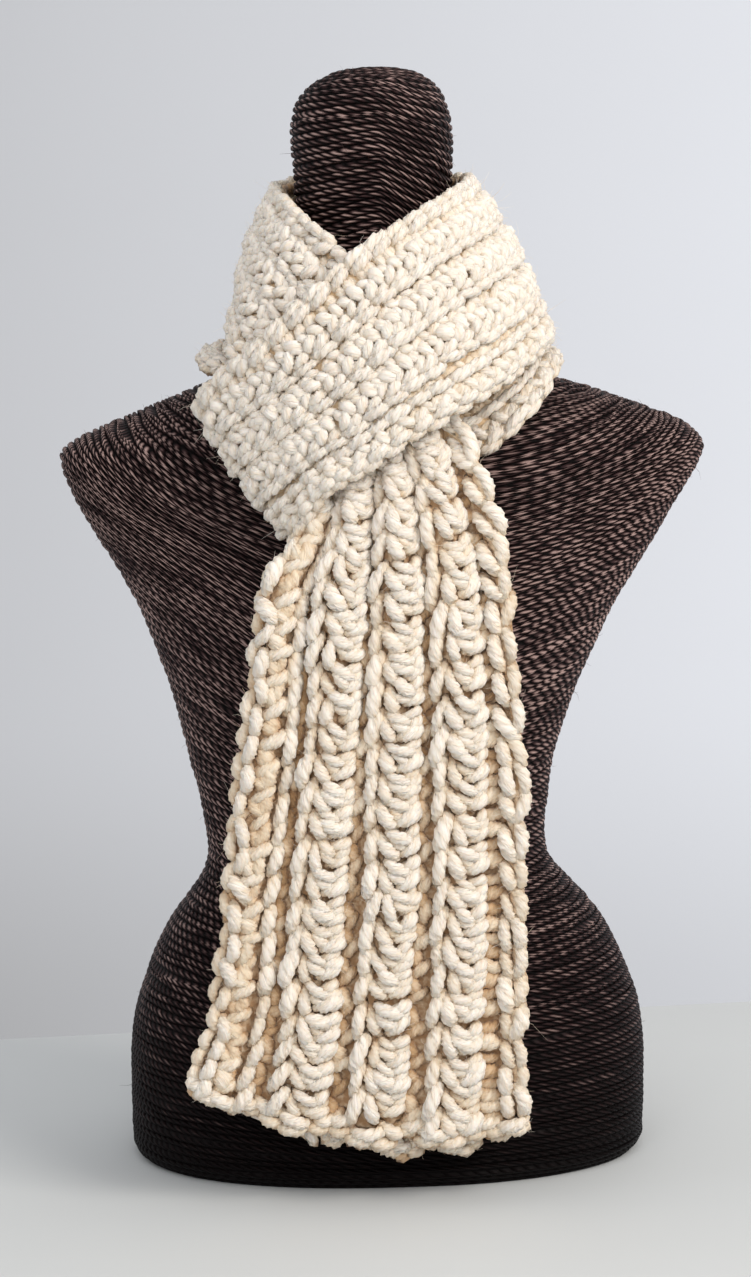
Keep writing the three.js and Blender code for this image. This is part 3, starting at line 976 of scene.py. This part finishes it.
def backingMesh(name, half, layout, first, last):
    width = crochet["width"]
    inset = crochet["backingInset"]
    stepsAlong = max(6, round((last - first) / crochet["backingStep"]))
    along = np.linspace(first, last, stepsAlong + 1)[:, None]
    across = np.linspace(inset, width - inset, crochet["backingColumns"] + 1)[None]
    along, across = np.broadcast_arrays(along, across)
    centre, normal = clothFrame(half, along, across)
    top = centre + normal * layouts[layout]["backing"]
    under = centre + normal * crochet["backingUnder"]
    verts = np.concatenate([top.reshape(-1, 3), under.reshape(-1, 3)]) * mm
    number = np.arange(along.size).reshape(along.shape)
    below = number + along.size
    quads = [
        np.stack([number[:-1, :-1], number[1:, :-1], number[1:, 1:], number[:-1, 1:]], -1).reshape(-1, 4),
        np.stack([below[:-1, :-1], below[:-1, 1:], below[1:, 1:], below[1:, :-1]], -1).reshape(-1, 4),
    ]
    rim = [
        (number[0, :], below[0, :]),
        (number[::-1, 0], below[::-1, 0]),
        (number[-1, ::-1], below[-1, ::-1]),
        (number[:, -1], below[:, -1]),
    ]
    for upper, lower in rim:
        quads.append(np.stack([upper[:-1], upper[1:], lower[1:], lower[:-1]], -1))
    piece = meshFrom(name, verts, np.concatenate(quads))
    # how deep the backing's painted shade is
    giveValue(piece, "shut", np.full(len(verts), layouts[layout]["shut"]))
    piece.data.materials.append(backingMaterial)
    return piece


# scales for the strands, and the numbers of rings, sides and loose hairs for each
strandFinish = {
    ("outer", "tail"): {"relief": 1.0, "thickness": 1.0, "rings": 10, "sides": 9, "hairs": 1.8},
    ("outer", "neck"): {"relief": 1.0, "thickness": 1.0, "rings": 8, "sides": 9, "hairs": 1.9},
    ("inner", "tail"): {"relief": 0.75, "thickness": 0.95, "rings": 8, "sides": 6, "hairs": 0.4},
    ("inner", "neck"): {"relief": 0.75, "thickness": 0.95, "rings": 7, "sides": 6, "hairs": 0.4},
    "back": {"relief": 0.3, "thickness": 0.8, "rings": 6, "sides": 6, "hairs": 0.3},
}
for key, finish in strandFinish.items():
    finish["face"] = -1 if key == "back" else 1
    finish["twins"] = key == ("outer", "tail")


# the short end, where the rows turn round, in mm
hem = {
    # each line of turns: back from the end, height, gap from turn to turn, place of the first
    "lines": [(6.5, 3.6, 11.5, 3.0), (2.5, 2.0, 10.5, 8.0), (3.5, -1.2, 11.0, 5.0)],
    "spread": 1.0,
    "lean": 2.6,
    "sag": 1.2,
    "wave": 2.2,
    "reach": (5.5, 7.5),
    "inset": 1.5,
    # one turn: its share of the lean, how far on, its share of the reach, height and half thickness
    "turn": [
        (-0.9, -2.5, -1.15, -3.6, 2.4),
        (-0.4, 0.0, -0.6, 0.6, 3.5),
        (0.0, 0.8, 0.0, 1.8, 4.0),
        (0.4, 0.0, 0.6, 0.4, 3.6),
        (0.9, -2.5, 1.15, -3.8, 2.4),
    ],
}


def endStrands(half, end, finish):
    # the turns are lumpy and overlap
    rows = []
    width, inset = crochet["width"], hem["inset"]
    for back, lift, gap, start in hem["lines"]:
        for place in np.arange(start, width - 2 * inset, gap):
            place = place + randomDraw.normal(0, hem["spread"])
            lean = randomDraw.normal(0, hem["lean"])
            sag = randomDraw.normal(0, hem["sag"])
            sag += hem["wave"] * math.cos(ribTurn * (place - crochet["crest"]))
            reach = randomDraw.uniform(*hem["reach"])
            shape = [
                (end - back + sag + lean * leanShare + on, place + reach * share, lift + height, thick)
                for leanShare, on, share, height, thick in hem["turn"]
            ]
            rows.append(shapeRings(shape, finish["rings"]))
    strands = np.stack(rows)
    strands[..., 1] = np.clip(strands[..., 1], inset, width - inset)
    return settle(half, "tail", strands, finish)


# where the pieces of a stretch start and stop, in mm from its own ends and from the cloth's edges
edges = {
    "tailStart": -14,  # a tail's first strands lie under the loop
    "tailEnd": 13,  # leaves room for the hem
    "backEnd": 13,
    "backShift": 18,  # about half a rib, as the ribs of the back lie between those of the front
    "backInset": 36,
    "backingGap": 0.15,
    "backingEnd": 5,
}


def makeStretch(name, half, layout, first, last):
    finish = strandFinish[half, layout]
    atEnd = layout == "tail"
    start = first + (edges["tailStart"] if atEnd else 0)
    end = last - (edges["tailEnd"] if atEnd else 0)
    batches = [layStrands(half, layout, start, end, finish, columns)]
    if atEnd:
        batches.append(endStrands(half, last, finish))
    yarn = [yarnMesh(name + "_yarn", batches, finish)]
    if half == "inner":
        inside = crochet["width"] - edges["backInset"]
        places = [(p + edges["backShift"], [n for n in names if n in backStrands]) for p, names in columns]
        places = [(place, names) for place, names in places if names and place < inside]
        batch = layStrands(half, layout, first, last - edges["backEnd"], strandFinish["back"], places)
        yarn.append(yarnMesh(name + "_back_yarn", [batch], strandFinish["back"]))
    gap = edges["backingGap"]
    end = last - (edges["backingEnd"] if atEnd else gap)
    return backingMesh(name + "_cloth", half, layout, first + gap, end), yarn


def finishStretch(cloth, yarn, node):
    for piece in (cloth, *yarn):
        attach(piece, "root")
    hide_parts(node)


# each stretch's half, and its first and last stations
stretches = {
    "loop_front": ("outer", 0, 7),
    "nape_outer": ("outer", 7, 13),
    "side_outer": ("outer", 13, 19),
    "tail_front": ("outer", 19, 27),
    "loop_under": ("inner", 0, 7),
    "nape_inner": ("inner", 7, 13),
    "side_inner": ("inner", 13, 19),
    "tail_rear": ("inner", 19, 27),
}
# build each stretch from its half and its stations: the loop is gathered, and its edges roll under
for node, (half, firstStation, finalStation) in stretches.items():
    first, last = runAt(half, firstStation), runAt(half, finalStation)
    isTail = firstStation >= tailStation
    layout = "tail" if isTail else "neck"
    cloth, yarn = makeStretch(node, half, layout, first, last)
    finishStretch(cloth, yarn, node)
    print("made", node)

fold, foldYarn = makeStretch("loop_fold", "outer", "neck", -foldRun, 0)
finishStretch(fold, foldYarn, "loop_fold")
print("made loop_fold")

# The form's sections, in mm. Each row holds the height, half the width, the reach to the front and to the
# back, the shift to the side, and the power of the oval: 2 for an ellipse, and more for a squarer one.
formSections = np.array(
    [
        [0, 143, 90, 88, 6, 2.3],
        [5, 148, 95, 93, 6, 2.3],
        [16, 149.5, 98, 96, 6, 2.3],
        [40, 150, 99, 98, 6, 2.3],
        [67, 149.5, 99, 99, 6, 2.3],
        [91, 145.5, 97, 98, 6, 2.3],
        [102, 141.5, 93, 95, 6, 2.3],
        [114, 137, 88, 91, 5.5, 2.3],
        [126, 131.5, 83, 86, 5.5, 2.25],
        [138, 124.5, 78, 80, 5, 2.2],
        [149, 116, 73, 74, 4.5, 2.2],
        [161, 106, 68, 68, 3, 2.2],
        [172, 99.5, 64, 63, 1, 2.2],
        [184, 98, 62.5, 60, 0, 2.2],
        [195, 99, 63, 60, -1, 2.2],
        [206, 100.5, 64, 60, -1, 2.2],
        [230, 105, 69, 62, -2.5, 2.2],
        [253, 111, 74, 65, -2, 2.25],
        [276, 118, 79, 68, -1, 2.3],
        [299, 127.5, 81, 70, 0, 2.3],
        [322, 137.5, 80, 71, 1, 2.35],
        [345, 151, 76, 70, 2, 2.4],
        [368, 165, 69, 67, 2, 2.5],
        [380, 172, 65, 64, 2, 2.6],
        [392, 178.5, 62, 61, 3, 2.6],
        [403, 183.5, 59.5, 58, 4.5, 2.5],
        [411, 184.5, 58, 57, 6, 2.4],
        [418, 178, 56, 55, 9, 2.3],
        [425, 166, 54, 53, 12, 2.2],
        [431, 151, 53, 52, 12, 2.2],
        [438, 133, 52, 51, 11, 2.1],
        [445, 114, 51, 50, 9, 2],
        [451, 96, 50, 50, 5, 2],
        [458, 78, 49.5, 50, 2, 2],
        [468, 63, 49, 50, 0, 2],
        [482, 52, 48, 49, 0, 2],
        [500, 47, 46.5, 47.5, 0, 2],
        [522, 45, 45, 46, 0, 2],
        [560, 44.5, 44.5, 45, 0, 2],
        [598, 44.5, 44.5, 44.5, -1, 2],
        [607, 42, 42, 42, -1, 2],
        [614, 37, 37, 37, 0, 2],
        [620, 29, 29, 29, 1, 2],
        [624, 18, 18, 18, 2, 2],
        [625.5, 7, 7, 7, 2, 2],
    ],
    float,
)
bust = {"reach": 42, "swell": 12, "halfSpread": 60, "height": 316}
formHeight = formSections[-1, 0]
climbSteps = 1500


def sectionAt(z):
    heights = formSections[:, 0]
    slopes = np.gradient(formSections, heights, axis=0)
    z = np.clip(z, heights[0], heights[-1])
    i = np.clip(np.searchsorted(heights, z, side="right") - 1, 0, len(heights) - 2)
    gap = (heights[i + 1] - heights[i])[..., None]
    t = ((z - heights[i])[..., None]) / gap
    a, b = formSections[i], formSections[i + 1]
    da, db = slopes[i] * gap, slopes[i + 1] * gap
    fromLow = a * (1 + 2 * t) * (1 - t) ** 2 + da * t * (1 - t) ** 2
    return fromLow + b * t * t * (3 - 2 * t) + db * t * t * (t - 1)


def formPoint(z, turn):
    section = sectionAt(z)
    _, halfWidth, front, back, lean, square = (section[..., k] for k in range(6))
    power = 2 / square
    c, s = np.cos(turn), np.sin(turn)
    x = lean + halfWidth * np.sign(c) * np.abs(c) ** power
    y = np.where(s < 0, front, back) * np.sign(s) * np.abs(s) ** power
    aside = (np.abs(x - lean) - bust["halfSpread"]) / bust["reach"]
    above = (z - bust["height"]) / bust["reach"]
    y = y + np.where(s < 0, bust["swell"] * s * np.exp(-aside * aside - above * above), 0)
    return np.stack([x, y, np.broadcast_to(z, x.shape)], axis=-1)


def windingHeights(turn, share):
    # heights of the windings at each angle: evenly spaced up the surface, and climbing to the shoulders
    heights = np.linspace(0, formHeight, climbSteps)
    surface = formPoint(heights[:, None], turn[None])
    climb = np.linalg.norm(np.diff(surface, axis=0), axis=2)
    climbed = np.concatenate([np.zeros((1, len(turn))), np.cumsum(climb, axis=0)])
    side = np.cos(turn)
    rise = np.where(side < 0, twine["riseLeft"], twine["riseRight"])
    bell = np.exp(-(((share[:, None] - twine["riseAt"]) / twine["riseReach"]) ** 2))
    wanted = np.clip(share[:, None] + rise * bell * side**2, 0, 1) * climbed[-1]
    rows = [np.interp(wanted[:, i], climbed[:, i], heights) for i in range(len(turn))]
    return np.stack(rows, axis=1), float(climbed[-1].mean())


def strayed(turn, windings):
    # how far each winding strays up or down, smoothly round the form
    steps = twine["wanderSteps"]
    wander = randomDraw.normal(0, 1, (windings + 2, steps))
    place = (turn / (2 * math.pi) * steps) % steps
    low = place.astype(int)
    return wander[:, low] * (1 - (place - low)) + wander[:, (low + 1) % steps] * (place - low)


def woundSurface(turn, windings, winding):
    # points and outward directions of the ridges that the windings make, and the length round each row
    stray = strayed(turn, windings)[winding.astype(int)]
    z = windingHeights(turn, np.linspace(0, 1, len(winding)))[0]
    inside = np.minimum(z, formHeight - z) > twine["wanderFrom"]
    z = np.clip(z + twine["wander"] * stray * inside, 0, formHeight)
    point = formPoint(z, turn[None])
    upward = np.gradient(point, axis=0)
    around = np.roll(point, -1, axis=1) - np.roll(point, 1, axis=1)
    normal = unit(np.cross(around, upward))
    phase = winding % 1
    ridge = np.sqrt(np.maximum(1 - (2 * phase - 1) ** 2, 0)) - twine["sink"]
    thick = 1 + twine["wanderSwell"] * stray
    point = point + normal * (ridge[:, None] * thick * twine["depth"])[..., None]
    point[0, :, 2] = 0
    point[..., 2] = np.maximum(point[..., 2], 0)
    return point, normal, np.linalg.norm(around, axis=2).sum(axis=1) / 2


def twineCorners(winding, length):
    # the run along each winding and its number, for the corners of every face
    columns = twine["columns"]
    # a whole number of plies, so that the pattern meets itself
    length = np.round(length / twine["plyLength"]) * twine["plyLength"] * mm
    share = np.arange(columns) / columns
    u = share * length[:-1, None]
    uNext = (share + 1 / columns) * length[:-1, None]
    v = np.broadcast_to(winding[:-1, None], u.shape)
    vNext = v + 1 / twine["rowsPerWinding"] - 1e-4  # stays short of the next winding
    return np.stack([u, v, uNext, v, uNext, vNext, u, vNext], axis=-1).reshape(-1, 2)


def makeForm():
    columns, perWinding = twine["columns"], twine["rowsPerWinding"]
    turn = math.pi / 2 + 2 * math.pi * np.arange(columns) / columns
    climb = windingHeights(turn, np.array([0.0, 1.0]))[1]
    windings = round(climb / twine["pitch"])
    rows = windings * perWinding + 1
    winding = np.arange(rows) / perWinding
    point, normal, length = woundSurface(turn, windings, winding)
    i = randomDraw.integers(twine["hairRows"], rows - twine["hairRows"], twine["hairs"])
    j = randomDraw.integers(0, columns, twine["hairs"])
    hairs = looseHairs(point[i, j], normal[i, j], twineHair)
    piece, rest = hairyMesh("dress_form_twine", point[None], hairs)
    giveUv(piece, "twine", np.concatenate([twineCorners(winding, length), np.full((rest, 2), 0.5)]))
    piece.data.materials.append(twineMaterial)
    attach(piece, "root")
    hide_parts("dress_form")


makeForm()
print("made dress form")

tableShape = {"backLeft": (-0.230, 0.268), "slope": 0.095, "reach": 3.0, "thickness": 0.03}
backdropShape = {"distance": 4.0, "halfWidth": 8.0, "foot": -4.0, "height": 5.0, "thickness": 0.01}


def slab(name, outline, low, high, material):
    count = len(outline)
    corners = [(*p, low) for p in outline] + [(*p, high) for p in outline]
    walls = [(i, (i + 1) % count, count + (i + 1) % count, count + i) for i in range(count)]
    mesh = bpy.data.meshes.new(name)
    mesh.from_pydata(corners, [], [tuple(range(count))[::-1], tuple(range(count, 2 * count)), *walls])
    piece = bpy.data.objects.new(name, mesh)
    bpy.context.scene.collection.objects.link(piece)
    piece.data.materials.append(material)
    return piece


def backEdge(x):
    return x, tableShape["backLeft"][1] + (x - tableShape["backLeft"][0]) * tableShape["slope"]


reach = tableShape["reach"]
outline = [(-reach, -reach), (reach, -reach), backEdge(reach), backEdge(-reach)]
slab("table_top", outline, -tableShape["thickness"], 0, mattEmulsion())
wide, away, thick = (backdropShape[key] for key in ("halfWidth", "distance", "thickness"))
outline = [(-wide, away), (wide, away), (wide, away + thick), (-wide, away + thick)]
slab("backdrop", outline, backdropShape["foot"], backdropShape["height"], backdropPaper())


def addLight(name, target, place, size, power, colour):
    data = bpy.data.lights.new(name, "AREA")
    data.size = size
    data.energy = power
    data.color = toLinear(colour)[:3]
    light = bpy.data.objects.new(name, data)
    bpy.context.scene.collection.objects.link(light)
    light.location = place
    light.rotation_euler = (Vector(target) - Vector(place)).to_track_quat("-Z", "Y").to_euler()
    light.visible_camera = False


studio = {
    "key": {"place": (1.6, -1.6, 1.8), "size": 1.2, "power": 45, "colour": "#FFF9F2"},
    "fill": {"place": (-0.6, -2.2, 1.5), "size": 1.5, "power": 13, "colour": "#FCFCFF"},
    "room": {"colour": "#F0F1F4", "strength": 0.9},
    "aim": (0, 0, 0.3),
}
for name in ("key", "fill"):
    addLight(name, studio["aim"], **studio[name])
world = bpy.data.worlds.new("studio")
bpy.context.scene.world = world
world.use_nodes = True
room = {"Color": toLinear(studio["room"]["colour"]), "Strength": studio["room"]["strength"]}
feed(world.node_tree, world.node_tree.nodes["Background"], room)

# place, aim and near limit in metres, lens in mm and roll in degrees
view = {"place": (-0.148, -1.694, 0.500), "aim": (0, 0, 0.300), "near": 0.05, "lens": 83.2, "roll": -0.3}
cameraData = bpy.data.cameras.new("camera")
camera = bpy.data.objects.new("camera", cameraData)
bpy.context.scene.collection.objects.link(camera)
camera.location = view["place"]
cameraData.lens = view["lens"]
cameraData.clip_start = view["near"]
camera.rotation_euler = (Vector(view["aim"]) - camera.location).to_track_quat("-Z", "Y").to_euler()
camera.rotation_euler.rotate_axis("Z", math.radians(view["roll"]))
bpy.context.scene.camera = camera
bpy.context.scene.view_settings.view_transform = "Standard"
print("made stage, lights and camera")

counts = {p.name: len(p.data.loops) - 2 * len(p.data.polygons) for p in bpy.data.objects if p.type == "MESH"}
print("triangles", sum(counts.values()), "most in one piece", max(counts.values()))
